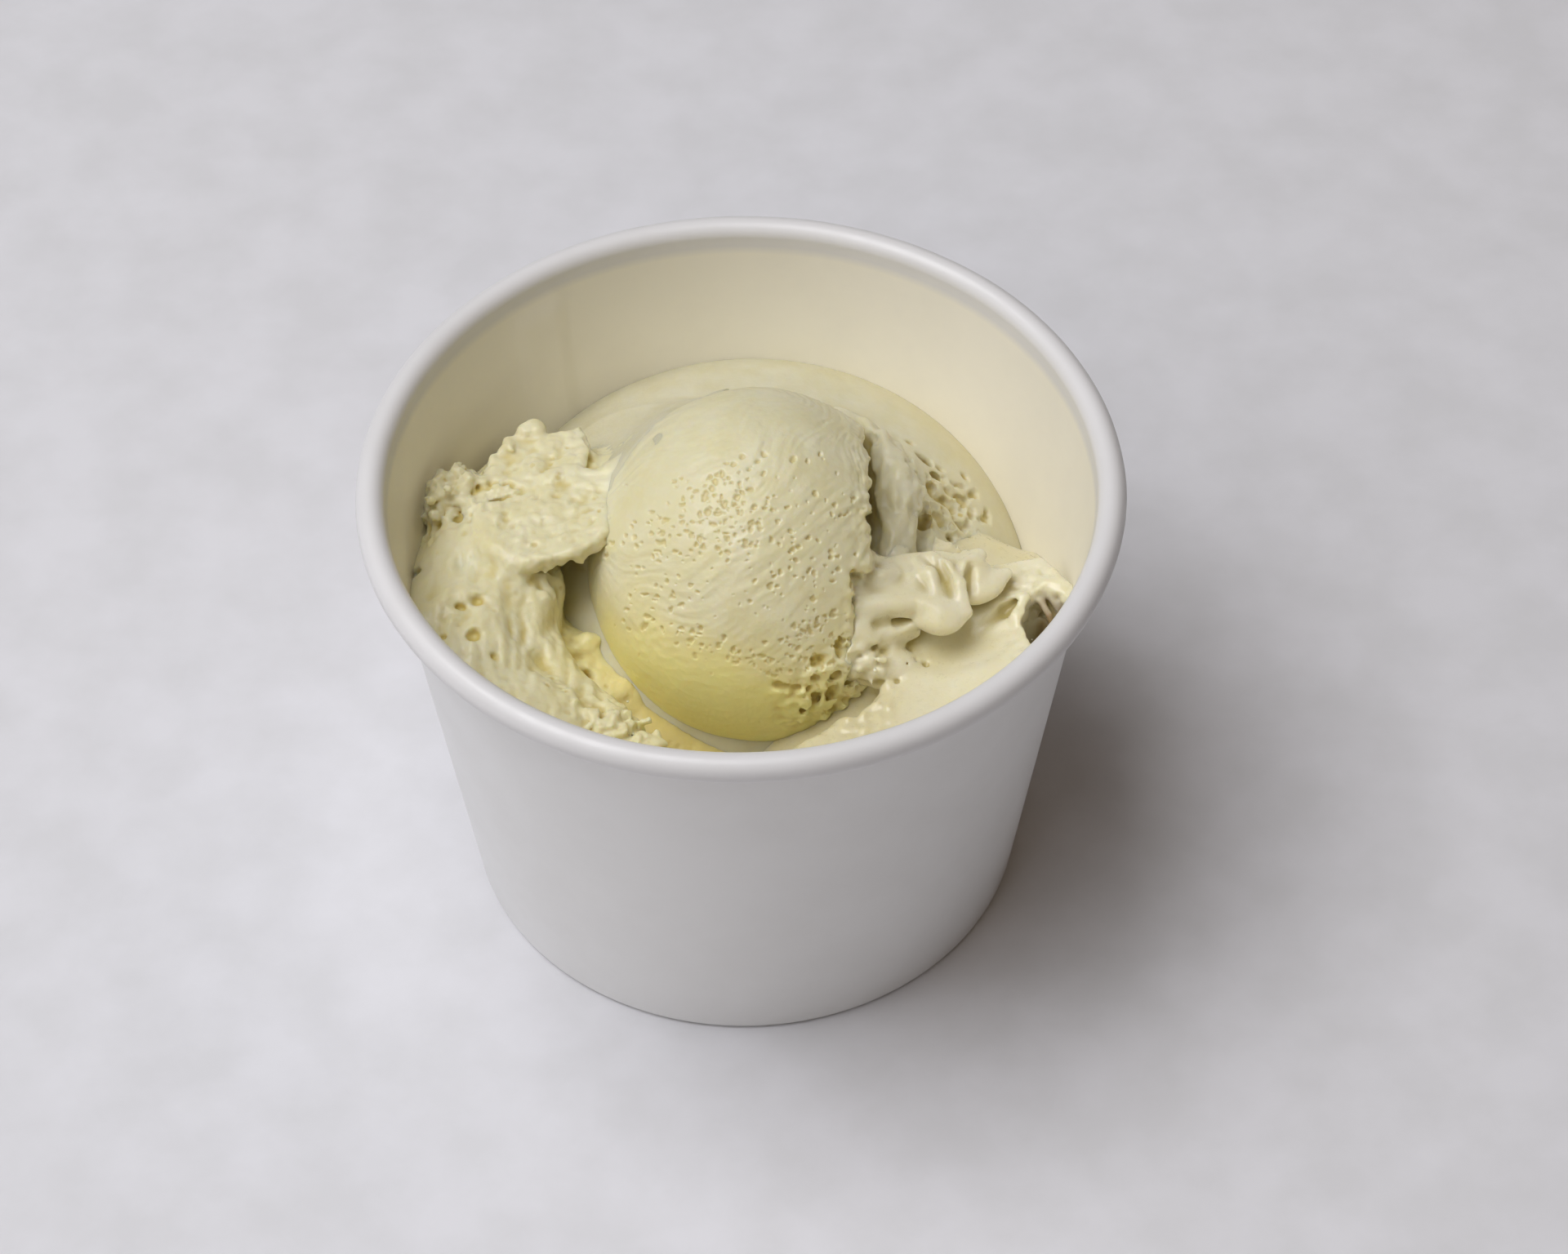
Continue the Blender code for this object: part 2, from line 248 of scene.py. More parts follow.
def addSheet(clay, outline, level, tilt, thick, soft=1.0, rounding=0.8):
    # a sheet with a free outline; tilt is its rise along x and y, and how far it droops from its middle
    outline = np.array(outline, float)
    lowC, highC = outline.min(0) - 4, outline.max(0) + 4
    cut = window((*(lowC + highC) / 2, level), (*(highC - lowC) / 2, thick + 6))
    x, y = np.meshgrid(axes[0][cut[0]], axes[1][cut[1]], indexing="ij")
    best = np.full(x.shape, 1e9)
    inside = np.zeros(x.shape, bool)
    for a, b in zip(outline, np.roll(outline, -1, 0)):
        way = b - a
        t = np.clip(((x - a[0]) * way[0] + (y - a[1]) * way[1]) / (way @ way), 0, 1)
        best = np.minimum(best, np.hypot(x - a[0] - t * way[0], y - a[1] - t * way[1]))
        crossed = (a[1] > y) != (b[1] > y)
        inside ^= crossed & (x < (b[0] - a[0]) * (y - a[1]) / (b[1] - a[1] + 1e-12) + a[0])
    edge = np.where(inside, -best, best)[:, :, None] + rounding
    middle = outline.mean(0)
    across, along, droop = (*tilt, 0.0)[:3]
    height = level + across * (x - middle[0]) + along * (y - middle[1])
    height = height + droop * ((x - middle[0]) ** 2 + (y - middle[1]) ** 2) / 100
    rise = np.abs(spot[2][:, :, cut[2]] - height[:, :, None]) - thick / 2 + rounding
    field = np.minimum(np.maximum(edge, rise), 0) - rounding
    field = field + np.hypot(np.maximum(edge, 0), np.maximum(rise, 0))
    clay[cut] = blendMin(clay[cut], field.astype(np.float32), soft)


lattices = {}


def noiseAt(points, size, seed):  # smooth gradient noise, about -1 to 1, its bumps that far apart
    if seed not in lattices:
        draw = np.random.default_rng(seed).normal(size=(32, 32, 32, 3))
        lattices[seed] = (draw / np.linalg.norm(draw, axis=3)[..., None]).astype(np.float32)
    lattice = lattices[seed]
    q = (points / np.asarray(size, np.float32)).astype(np.float32)
    cell = np.floor(q).astype(np.int32)
    f = q - cell
    ease = f * f * f * (f * (f * 6 - 15) + 10)
    total = 0
    for step in np.ndindex(2, 2, 2):
        step = np.array(step)
        at = (cell + step) & 31
        slope = lattice[at[:, 0], at[:, 1], at[:, 2]]
        total = total + ((f - step) * slope).sum(1) * np.prod(np.where(step, ease, 1 - ease), axis=1)
    return total * 1.7


def roughen(clay, centre, radii, size, depth, seed):  # noise pushes the skin, less towards the place's edge
    cut = window(centre, radii)
    block = clay[cut]
    near = np.nonzero(np.abs(block) < depth * 2 + 0.6)
    points = np.stack([axes[k][cut[k]][near[k]] for k in range(3)], 1)
    far = np.sqrt((((points - centre) / radii) ** 2).sum(1))
    block[near] -= (depth * np.clip((1 - far) * 2.2, 0, 1) * noiseAt(points, size, seed)).astype(np.float32)


def sample(clay, points):
    at = np.clip(np.rint((points - low) / grain).astype(int), 0, count - 1)
    return clay[at[..., 0], at[..., 1], at[..., 2]]


def skinAt(clay, places, way, reach=9.0):  # the outermost point of the clay on a line through each place
    places = np.atleast_2d(np.asarray(places, float))
    line = places[:, None, :] + np.arange(reach, -reach, -0.15)[None, :, None] * way
    inside = sample(clay, line) < 0
    return line[np.arange(len(places)), np.argmax(inside, 1)], inside.any(1)


def cutPits(clay, places, radii, seed, way, sink=0.25, soft=0.2):
    draw = np.random.default_rng(seed)
    spots, found = skinAt(clay, places, way)
    for centre, radius, ok in zip(spots, radii, found):
        stretch, turn = draw.uniform(0.8, 1.3, 3), draw.uniform(-90, 90, 3)
        if ok:
            cutLump(clay, centre - way * radius * sink, radius * stretch, turn, soft)


def addCrumbs(clay, centre, spread, radius, number, seed, soft=0.5):
    draw = np.random.default_rng(seed)
    for _ in range(number):
        place = np.array(centre) + draw.normal(size=3) * 0.55 * np.array(spread)
        size = radius * draw.uniform(0.45, 1.1) * draw.uniform(0.7, 1.2, 3)
        addLump(clay, place, size, draw.uniform(-90, 90, 3), soft)


def melt(clay, other, centre, radii, soft):  # fills the crease between two clays, most in the middle
    cut = window(centre, radii)
    d = [(spot[0][cut[0]] - centre[0]) / radii[0], (spot[1][:, cut[1]] - centre[1]) / radii[1],
         (spot[2][:, :, cut[2]] - centre[2]) / radii[2]]
    fade = np.clip(1.6 * (1 - d[0] ** 2 - d[1] ** 2 - d[2] ** 2), 0, 1)
    reach = (soft * fade).astype(np.float32) + 1e-3
    mine, theirs = clay[cut], other[cut] + 0.12
    h = np.maximum(reach - np.abs(mine - theirs), 0) / reach
    clay[cut] = np.where(fade > 0, np.minimum(mine, theirs) - h * h * reach / 4, mine)


# the room inside the cup, which no gelato leaves
cavity = np.sqrt(spot[0] ** 2 + spot[1] ** 2) - (wallFoot - cup["paper"] / 2 + 0.1 + wallSlope * spot[2])
cavity = np.maximum(cavity.astype(np.float32), cup["baseLevel"] + cup["paper"] / 2 - spot[2])

# the front scoop is a leaning egg, torn off along its right side
front = {
    "centre": (1.7, 4.4, 41.0), "radii": (20.4, 20.4, 22.0), "lean": -42, "faceLean": 48.3, "tornAt": 15.0,
    "lowTornAt": 13.1,
    "hollows": [  # right and up the scooped face, then radii and turn
        ((7.7, -11.2), (1.2, 0.55, 1.0), 0), ((9.2, -12.8), (0.6, 0.6, 1.0), 0),
        ((11.6, -13.0), (0.9, 0.5, 1.3), 20), ((6.0, -17.0), (0.9, 0.4, 0.8), 0),
        ((5.0, -19.2), (1.8, 0.7, 1.0), 30), ((9.7, -9.5), (0.6, 0.5, 1.4), 0),
        ((8.4, -15.2), (2.2, 1.6, 0.8), -30), ((11.5, -15.5), (2.4, 2.4, 1.3), -20),
        ((3.4, -14.2), (1.6, 0.5, 0.5), 25),
    ],
    "webs": [((8.7, -10.9), (7.7, -16.0)), ((9.0, -10.8), (10.8, -11.6)), ((10.5, -12.0), (9.8, -14.6)),
        ((7.0, -15.4), (5.2, -18.0))],
    "bubbles": [  # right, up, wide, high, turn, number, largest radius
        (-4.4, 8.6, 8.5, 4.6, 8, 80, 0.5), (-6.0, 4.2, 9.0, 4.0, 5, 60, 0.48),
        (-1.5, 2.8, 6.0, 2.0, 0, 26, 0.48), (7.0, 1.5, 5.5, 7.0, 60, 34, 0.42),
        (9.0, 9.5, 3.0, 4.0, 0, 10, 0.4), (-12.5, 2.0, 5.0, 6.0, 60, 30, 0.4),
        (-11.5, -3.5, 5.0, 2.5, 20, 24, 0.4), (-4.5, -9.4, 12.0, 1.5, -20, 60, 0.46),
        (6.0, -6.7, 6.0, 1.4, 22, 36, 0.46), (8.0, -9.0, 5.0, 3.0, 20, 26, 0.45),
        (1.5, -2.5, 8.0, 4.0, 20, 22, 0.42), (8.5, -14.5, 6.0, 7.0, 0, 90, 0.36),
        (2.5, -12.0, 5.0, 2.0, -20, 20, 0.42), (0.0, 0.0, 22.0, 16.0, 0, 60, 0.25),
    ],
    "bandEdge": -9.6, "bandSlope": 0.32,
}
lean = math.radians(front["faceLean"])
scoopCentre = np.array(front["centre"])
outSlope = np.array([0.0, -math.cos(lean), math.sin(lean)])  # the way the scooped face looks
upSlope = np.array([0.0, math.sin(lean), math.cos(lean)])
across = np.array([1.0, 0.0, 0.0])


def onScoop(right, up):
    return scoopCentre + right * across + up * upSlope + 18 * outSlope


scoop = newClay()
addLump(scoop, scoopCentre, front["radii"], (front["lean"], 0, 0))
own = (spot[1] - scoopCentre[1]) * upSlope[1] + (spot[2] - scoopCentre[2]) * upSlope[2]
shore = np.stack([np.zeros(own.size), own.ravel(), np.zeros(own.size)], 1)
ragged = (0.7 * noiseAt(shore, 2.3, 12) + 0.45 * noiseAt(shore, 0.9, 13)).reshape(own.shape)
tornSide = window((17, 4, 46), (7, 26, 22))
bite = np.maximum(front["tornAt"] - 0.03 * spot[1] + ragged - spot[0], -(own + 1.0) * 0.8)
cutRim(scoop, bite.astype(np.float32), tornSide, 0.6)
bite = np.maximum(front["lowTornAt"] + ragged - spot[0], np.abs(own + 5.5) - 5.0)
cutRim(scoop, bite.astype(np.float32), tornSide, 0.8)
roughen(scoop, (14.5, 4, 50), (3.5, 16, 12), 2.2, 0.35, 11)
roughen(scoop, (14.5, 4, 50), (3.5, 16, 12), 0.9, 0.3, 14)
for (right, up), radii, turn in front["hollows"]:
    places, found = skinAt(scoop, onScoop(right, up), outSlope)
    cutLump(scoop, places[0], radii, (front["lean"], turn, 0), 0.6)
roughen(scoop, onScoop(8.5, -15) - 6 * outSlope, (8, 9, 8), (1.8, 1.2, 1.8), 0.75, 21)
roughen(scoop, onScoop(8.5, -15) - 6 * outSlope, (8, 9, 8), 0.9, 0.25, 22)
for share in np.linspace(0, 1, 6):
    place = onScoop(-13.5 + 17 * share, -7.2 - 6.2 * share) - 5 * outSlope
    roughen(scoop, place, (4, 3.4, 3.4), (1.6, 1.0, 1.0), 0.08, 23)
cutPits(scoop, [onScoop(11.2, -1.6)], [0.9], 250, outSlope)
for start, end in front["webs"]:
    start, found = skinAt(scoop, onScoop(*start), outSlope)
    end, found = skinAt(scoop, onScoop(*end), outSlope)
    middle = (start[0] + end[0]) / 2 + outSlope * 0.3
    addBar(scoop, [start[0] - outSlope * 0.2, middle, end[0] - outSlope * 0.3], [0.45, 0.22, 0.5], 0.4)
print("front scoop: shaped")

# the back scoop carries the lip along the crack, and a spongy slope right of it
domeTop = np.array([0.0, -0.5, 0.87])
dome = {
    "body": ((1.3, 16.5, 24), (35.2, 33.5, 25)),
    "ridge": [(11.6, 24.5, 47.9), (14.3, 21.4, 48.9), (16.5, 18.3, 49.9), (18.2, 14.6, 50.4),
        (19.1, 11.3, 50.1), (19.3, 7.9, 49.4), (19.1, 5.6, 48.3)],
    "inner": [(13.0, 23.5, 46.5), (15.2, 19.5, 47.4), (17.2, 15, 47.8), (18.0, 10, 47.3), (18.0, 5, 46.4),
        (17.8, 1, 45.6)],
    "curl": [(18.0, 18.4, 48.9), (19.9, 14.2, 48.7), (20.8, 10.4, 48.3), (20.7, 8.0, 47.8),
        (20.2, 6.2, 47.0)],
    "gutter": [(13.4, 22.5, 49.6), (14.7, 17.5, 49.4), (15.1, 11.5, 49.0), (15.1, 5, 48.2),
        (14.8, -1, 47.2)],
    "holes": [  # x, y and radius
        (22.2, 18.6, 1.1), (23.5, 15.9, 0.75), (24.4, 11.7, 0.6), (22.9, 13.9, 0.7), (29.8, 10.6, 0.6),
        (30.0, 7.9, 0.6), (20.6, 21.4, 0.5), (21.6, 7.9, 0.9), (24.1, 8.4, 0.5), (25.4, 13.5, 0.55),
        (28.1, 14.4, 0.5), (26.9, 12.6, 0.85), (26.5, 8.6, 0.95), (25.6, 10.2, 0.45), (28.0, 10.6, 0.5),
        (24.2, 17.6, 0.5), (26.4, 15.2, 0.45), (22.6, 10.6, 0.5), (28.6, 7.0, 0.45), (25.2, 6.4, 0.5),
        (31.2, 9.0, 0.4), (23.6, 12.4, 0.4),
    ],
    "spongy": (25.4, 11.5, 4.4, 5.6), "foam": 70,
}
back = newClay()
addLump(back, *dome["body"])
addLump(back, (16, 10, 40), (7, 13, 9), soft=4)
addBar(back, dome["ridge"], [0.2, 0.3, 0.5, 0.7, 0.8, 0.7, 0.6], 1.6)
addBar(back, dome["inner"], [1.2, 1.7, 2.4, 2.6, 2.5, 2.0], 1.6)
addBar(back, dome["curl"], [0.6, 0.9, 1.0, 0.9, 0.7], 0.8)
cutBar(back, [(20.0, 16.0, 48.9), (20.6, 12.5, 48.7), (20.9, 9.6, 48.3)], [0.25, 0.4, 0.25], 0.4)
cutBar(back, [(22.0, 10.0, 46.0), (21.6, 7.4, 45.4), (20.9, 5.0, 44.6)], [1.0, 1.5, 1.4], 0.6)
cutBar(back, dome["gutter"], [0.4, 0.9, 1.1, 1.2, 1.1], 1.0)
roughen(back, (18.0, 9, 48.5), (7, 18, 7), (1.3, 5.0, 1.8), 0.42, 33)
roughen(back, (18.0, 9, 48.5), (7, 18, 7), 0.9, 0.15, 34)
roughen(back, (25, 11, 45), (9, 12, 6), 3.4, 0.5, 31)
roughen(back, (25, 11, 45), (8, 10, 6), 1.6, 0.3, 32)
for x, y, radius in dome["holes"]:
    cutPits(back, [(x, y, 46)], [radius], 41, domeTop, sink=0.15, soft=0.35)
draw = np.random.default_rng(4)
x, y, wide, high = dome["spongy"]
places = draw.normal(size=(dome["foam"], 3)) * (wide * 0.62, high * 0.62, 0) + (x, y, 46)
sizes = 0.3 + 0.35 * draw.random(dome["foam"])
cutPits(back, places[places[:, 0] > 22.0], sizes, 40, domeTop, sink=0.0, soft=0.3)
melt(back, scoop, (-15, 18, 46), (16, 16, 16), 9.0)
melt(back, scoop, (3, 27, 47), (18, 12, 12), 4.0)
melt(back, scoop, (-18, 12, 44), (8, 9, 8), 5.0)
print("back scoop: shaped")

# the right fold is a soft skirt, with a tongue folded over it and a torn hole by the wall
foldShape = {
    "body": ((24, -6, 20), (29, 30, 18.5)), "mound": ((33.5, -1, 31.6), (9, 15, 8.0)),
    "skirt": [(13.0, -11.0), (14.6, -11.4), (16.6, -12.6), (17.0, -14.2), (15.8, -15.6), (14.8, -17.0),
        (13.6, -18.2), (11.2, -18.9), (9.6, -20.3), (7.2, -21.4), (5.0, -23.0), (2.6, -25.0),
        (1.2, -27.4), (2.4, -29.8), (0.2, -32.4), (0.8, -38), (24, -38), (40, -20), (41, -4), (36, 3),
        (24, 2), (15.0, -3)],
    "under": [(12.2, -13.4), (12.9, -7.0), (20.5, -5.0), (21.2, -8.4), (18.8, -10.0), (15.2, -12.0)],
    "tongue": [(13.0, -9.4), (12.8, -3.0), (16.0, -1.0), (19.5, 0.2), (23.0, 0.9), (27.0, 0.5),
        (29.4, -0.8), (28.8, -3.2), (24.5, -8.2), (21.0, -8.8), (20.4, -8.5)],
    "lobes": [((23.4, -7.4, 46.3), (3.4, 3.2, 2.1), 0), ((28.1, -3.4, 46.2), (3.3, 2.3, 1.5), 28),
        ((30.6, -1.7, 46.1), (1.9, 1.0, 0.8), 34)],
    "creases": [  # path, radii and softness, along the top of the tongue
        ([(22.4, -0.6, 48.6), (24.2, -2.6, 48.9), (25.6, -5.2, 48.6), (26.4, -7.9, 46.9)],
            [0.5, 0.7, 0.8, 0.9], 0.7),
        ([(20.6, -1.5, 48.7), (22.2, -3.8, 49.0), (22.9, -6.4, 48.5)], [0.4, 0.6, 0.5], 1.0),
        ([(27.8, -0.6, 47.9), (26.6, -2.2, 48.4), (26.0, -3.6, 48.6)], [0.8, 0.7, 0.4], 0.8),
    ],
    "furrows": [
        ([(23.2, -1.4, 49.3), (24.2, -4.4, 49.2), (24.7, -6.8, 48.6)], [0.3, 0.5, 0.3], 0.5),
        ([(27.2, -2.2, 48.7), (27.0, -5.0, 48.0), (27.4, -7.0, 47.0)], [0.5, 0.8, 0.6], 0.6),
    ],
    "hole": ((36.3, -7.6, 43), (2.9, 4.9, 15)),
    "shade": [(22.6, -10.9, 43.6), (24.4, -10.8, 43.5), (26.4, -9.6, 43.5), (28.0, -7.4, 43.6),
        (31.2, -5.0, 43.9), (33.0, -3.4, 43.9)],
}
fold = newClay()
addLump(fold, *foldShape["body"], soft=1)
addLump(fold, *foldShape["mound"], soft=4)
addSheet(fold, foldShape["skirt"], 39.3, (0.15, 0.03), 4.4, 2.5, 1.3)
cutLump(fold, *foldShape["hole"], (0, 6, 10), 0.6)
roughen(fold, (35, -7, 45), (6, 10, 9), 1.4, 0.45, 51)
cutLump(fold, (26, -9.5, 45.0), (7.5, 4.2, 3.0), (0, -6, 15), 2.0)
addSheet(fold, foldShape["under"], 44.4, (0.0, 0.02), 3.6, 0.6, 1.0)
addSheet(fold, foldShape["tongue"], 47.3, (-0.09, 0.03), 3.0, 0.9, 1.2)
for place, radii, turn in foldShape["lobes"]:
    addLump(fold, place, radii, (0, 0, turn), 0.8)
for path, radii, soft in foldShape["creases"]:
    addBar(fold, path, radii, soft)
for path, radii, soft in foldShape["furrows"]:
    cutBar(fold, path, radii, soft)
addCrumbs(fold, (26.8, 0.6, 47.6), (1.6, 1.0, 0.5), 0.7, 8, 58)
cutBar(fold, foldShape["shade"], [0.4, 0.9, 1.0, 0.9, 0.9, 0.4], 0.4)  # drawn in under the lobes
addLump(fold, (14.0, -9.0, 45.6), (2.4, 3.2, 2.4), (0, 0, 0), 1.5)
addLump(fold, (16.0, -11.6, 41.6), (4.2, 2.6, 2.6), (0, 0, 0), 1.5)
cutLump(fold, (18.0, -10.0, 47.1), (2.8, 1.2, 0.9), (-15, 4, 3), 0.5)  # the dent under the tongue
cutLump(fold, (18.9, -8.7, 46.1), (1.25, 1.6, 0.4), (0, 0, 0), 0.15)  # and the slit in it
roughen(fold, (14, -12, 43), (5, 6, 5), 1.4, 0.4, 52)
roughen(fold, (13, -16, 42), (7, 9, 5), 1.3, 0.4, 53)
roughen(fold, (1, -32, 39), (6, 7, 6), 2.2, 0.7, 59)
roughen(fold, (22, -4, 47), (12, 8, 5), 2.6, 0.25, 56)
cutPits(fold, [(15.6, -10.9, 44), (19.7, -10.4, 43), (21.7, -12.6, 43), (18.2, -15.4, 43),
    (17.0, -11.4, 43),
    (20.6, -12.0, 43), (19.4, -12.6, 43)], [0.5, 0.35, 0.55, 0.35, 0.4, 0.3, 0.25], 54, outSlope)
addCrumbs(fold, (14.6, -12.8, 44.0), (2.2, 1.0, 0.7), 0.5, 16, 55, 0.6)
addBar(fold, [(35.6, -3.0, 43.4), (36.6, -4.6, 42.4), (37.2, -6.0, 40.4)], [0.5, 0.3, 0.3], 0.4)
melt(fold, scoop, (14.5, -3.5, 48), (5, 5, 6), 3.5)
melt(fold, back, (23, 2, 46), (9, 6, 7), 2.0)
melt(fold, back, (31, 5, 38), (10, 9, 10), 7.0)
for clay in (scoop, fold):  # two small holes where the tongue meets the scoop
    cutLump(clay, (12.9, -7.6, 51.8), (0.8, 0.8, 2.0), (-42, 0, 0), 0.2)
    cutLump(clay, (13.2, -9.6, 49.9), (0.35, 0.6, 1.6), (-42, 0, 0), 0.2)
roughen(scoop, (13.2, -10, 48), (2.0, 6, 6), 1.1, 0.3, 57)
print("right fold: shaped")

# the left heap, with a flap on it, a crumbly nub by the wall and a strip along the cavity
heapShape = {
    "lumps": [((-33, -8, 32), (13, 23, 16.5), 3), ((-26, -22, 35.5), (13, 12, 11), 3),
        ((-31, 8, 37.5), (9.5, 12, 9), 3), ((-25, 15, 42), (8.0, 9, 5.5), 3),
        ((-28.5, -1, 43), (7.0, 7, 5.0), 2.5), ((-31.5, 3.5, 43.5), (6.5, 7, 5.5), 2.5)],
    "flap": [(-27.0, 21.8), (-24, 19.8), (-19.6, 21.2), (-18.6, 16.0), (-19.2, 12.0), (-16.0, 10.8),
        (-15.1, 8.1), (-15.3, 4.2), (-15.7, 0.8), (-19.0, -2.2), (-21.2, -2.9), (-26, -3.4), (-31, 0.5),
        (-33, 8), (-31, 15)],
    "edge": [(-25.3, 0.5, 44.5), (-25.5, -4.5, 43), (-24.6, -8.5, 41.5), (-22.3, -12.0, 40.3),
        (-19.4, -15.8, 40.2), (-16.0, -19.0, 40.5), (-13, -21, 40.5)],
    "strip": [(-22.5, -0.5, 34.5), (-19.8, -5.0, 35.0), (-16.9, -10, 32.8), (-10.5, -14.5, 29.4),
        (0, -16.8, 26.4)],
    "crumbs": [  # centre, spread, radius, number, seed, softness
        ((-27, 3, 48.5), (4, 4, 1.0), 0.7, 24, 79, 0.7),
        ((-25.6, 20.4, 48.9), (1.2, 0.8, 0.8), 0.9, 10, 63, 0.8),
        ((-28.5, 17.0, 48.6), (1.6, 1.6, 0.6), 1.0, 8, 77, 0.8),
        ((-15.9, 11.2, 49.8), (0.8, 0.8, 0.6), 0.9, 5, 64, 0.5),
        ((-35.2, 11.2, 47.0), (3.0, 3.3, 2.0), 0.9, 110, 65, 0.7),
        ((-30.0, 8.0, 47.8), (3.2, 2.4, 1.0), 0.9, 14, 67, 0.6),
        ((-15.6, -22.2, 43), (3.6, 2.8, 1.2), 0.75, 70, 71, 0.8),
        ((-7, -13, 30), (3, 2, 1.5), 1.0, 14, 73, 0.5),
        ((-12.0, -24.3, 42), (2.4, 1.4, 0.8), 0.7, 26, 74, 0.8),
        ((-37.0, 9.5, 45.6), (1.8, 2.8, 1.8), 1.0, 30, 85, 0.8),
    ],
    "rough": [  # centre, radii, size of the bumps, depth, seed
        ((-23, 8, 49), (12, 15, 7), 4.5, 0.6, 61), ((-20, 8, 49), (12, 15, 7), 1.6, 0.26, 62),
        ((-22, 8, 49), (14, 17, 7), 0.9, 0.2, 78), ((-16.5, 3, 48), (4, 9, 4), 1.7, 0.45, 87),
        ((-21, -2.6, 47.4), (8, 3.5, 4), 1.5, 0.5, 88), ((-35.0, 11, 47.5), (8, 9, 8), 0.8, 0.3, 81),
        ((-17.5, -7, 36), (7, 12, 7), 3.0, 0.9, 68), ((-17.5, -7, 36), (7, 12, 7), 1.5, 0.35, 75),
        ((-30, -8, 45), (14, 14, 9), 4.5, 0.8, 69),
        ((-30, -6, 45), (14, 14, 9), (1.4, 3.6, 2.4), 0.28, 76),
        ((-28, -10, 43), (16, 18, 12), 0.9, 0.1, 80),
        ((-25, -16, 45), (14, 14, 9), (1.2, 5, 5), 0.35, 70),
        ((-15.6, -22, 43.5), (8, 8, 6), 1.1, 0.35, 72), ((-15.6, -22, 43.5), (8, 8, 6), 0.7, 0.2, 86),
    ],
}
heap = newClay()
addLump(heap, (-4, -4, 8), (46, 46, 20))
for centre, radii, soft in heapShape["lumps"]:
    addLump(heap, centre, radii, soft=soft)
addSheet(heap, heapShape["flap"], 49.3, (0.11, -0.09, -0.2), 2.5, 2.4, 0.9)
addBar(heap, heapShape["edge"], [2.6, 2.4, 2.2, 2.0, 1.9, 1.8, 1.6], 2.5)
addBar(heap, heapShape["strip"], [2.4, 3.6, 4.0, 3.8, 3.4], 2)
cutBar(heap, [(-18.8, -10.5, 37.4), (-17.0, -14, 36.6), (-14.2, -16.6, 36.2)], [0.9, 1.3, 1.2], 0.7)
addLump(heap, (-35.3, 10.8, 45.7), (3.2, 3.9, 3.7), soft=1.2)
roughen(heap, (-35.0, 11, 47.5), (8, 9, 8), 1.5, 0.7, 66)
for centre, spread, radius, number, seed, soft in heapShape["crumbs"]:
    addCrumbs(heap, centre, spread, radius, number, seed, soft)
cutBar(heap, [(-28.6, 10.6, 49.6), (-26.6, 9.8, 50.0)], [0.6, 0.5], 0.3)
cutBar(heap, [(-34, 6.6, 47.6), (-30, 7.6, 49), (-26.4, 9.2, 50)], [0.6, 0.5, 0.3], 0.3)
cutBar(heap, [(-39, 0.4, 44.2), (-34, -0.4, 46.0), (-29.5, 0.2, 48.2)], [0.6, 0.6, 0.3], 1.0)
for centre, radii, size, depth, seed in heapShape["rough"]:
    roughen(heap, centre, radii, size, depth, seed)
cutPits(heap, [(-31.2, -4.0, 45), (-33.2, -5.1, 45), (-31.5, -8.7, 44), (-35, -8, 43), (-29, -12, 44)],
    [0.75, 0.55, 0.75, 0.5, 0.4], 74, outSlope, soft=0.5)
melt(heap, back, (-17, 15, 48), (7, 8, 7), 4.0)
cutBar(heap, [(-19.2, 20.6, 51), (-18.9, 18.4, 49.6), (-18.7, 16.6, 49.6)], [0.35, 0.55, 0.3], 0.2)
cutBar(heap, [(-18.2, 17.0, 50), (-18.3, 15.0, 49.6), (-18.6, 12.9, 50)], [0.35, 0.5, 0.3], 0.2)
print("left heap: shaped")

touch = clayGrid["touch"]  # each clay runs this far into its neighbours, so no seam shows
scoop = np.maximum(scoop, cavity)
fold = np.maximum(np.maximum(fold, cavity), -(scoop + touch))
back = np.maximum(np.maximum(back, cavity), -(np.minimum(scoop, fold) + touch))
heap = np.maximum(np.maximum(heap, cavity), -(np.minimum(np.minimum(scoop, fold), back) + touch))


skinning = {  # in millimetres, but blur in grains
    "blur": 5, "fullDent": 0.34, "intoWall": 0.12, "usualRadius": 39, "covered": 0.6, "deep": 18,
    "alwaysShown": 48,
}


def averaged(clay, cells):  # the mean over a small cube: negative in dents, positive on bumps
    near = np.clip(clay, -1.2, 1.2)
    for axis in range(3):
        total = np.cumsum(near, axis=axis, dtype=np.float32)
        ahead = np.roll(total, -cells, axis)
        near = (ahead - np.roll(total, cells + 1, axis)) / (2 * cells + 1)
    return near


def sampleSmooth(clay, points):  # the value between the eight grid points round each point
    q = np.clip((points - low) / grain, 0, count - 1.001).astype(np.float32)
    cell = np.floor(q).astype(np.int32)
    f = q - cell
    total = 0
    for step in np.ndindex(2, 2, 2):
        at = cell + np.array(step)
        total = total + clay[at[:, 0], at[:, 1], at[:, 2]] * np.prod(np.where(step, f, 1 - f), axis=1)
    return total


def skinPiece(name, clay):  # the clay's surface as one closed mesh
    inside = np.nonzero(clay < 1)
    first = [max(0, int(i.min()) - 2) for i in inside]
    last = [int(i.max()) + 3 for i in inside]
    block = np.ascontiguousarray(clay[first[0]:last[0], first[1]:last[1], first[2]:last[2]])
    for k in range(3):
        edge = [slice(None)] * 3
        for side in (0, -1):
            edge[k] = side
            block[tuple(edge)] = np.maximum(block[tuple(edge)], 0.5)
    grid = vdb.FloatGrid(3.0)
    grid.gridClass = vdb.GridClass.LEVEL_SET
    grid.copyFromArray(np.clip(block, -3, 3))
    points, tris, quads = grid.convertToPolygons(0, 0)
    return meshFrom(name, points * grain + (low + np.array(first) * grain), quads[:, ::-1], tris[:, ::-1])


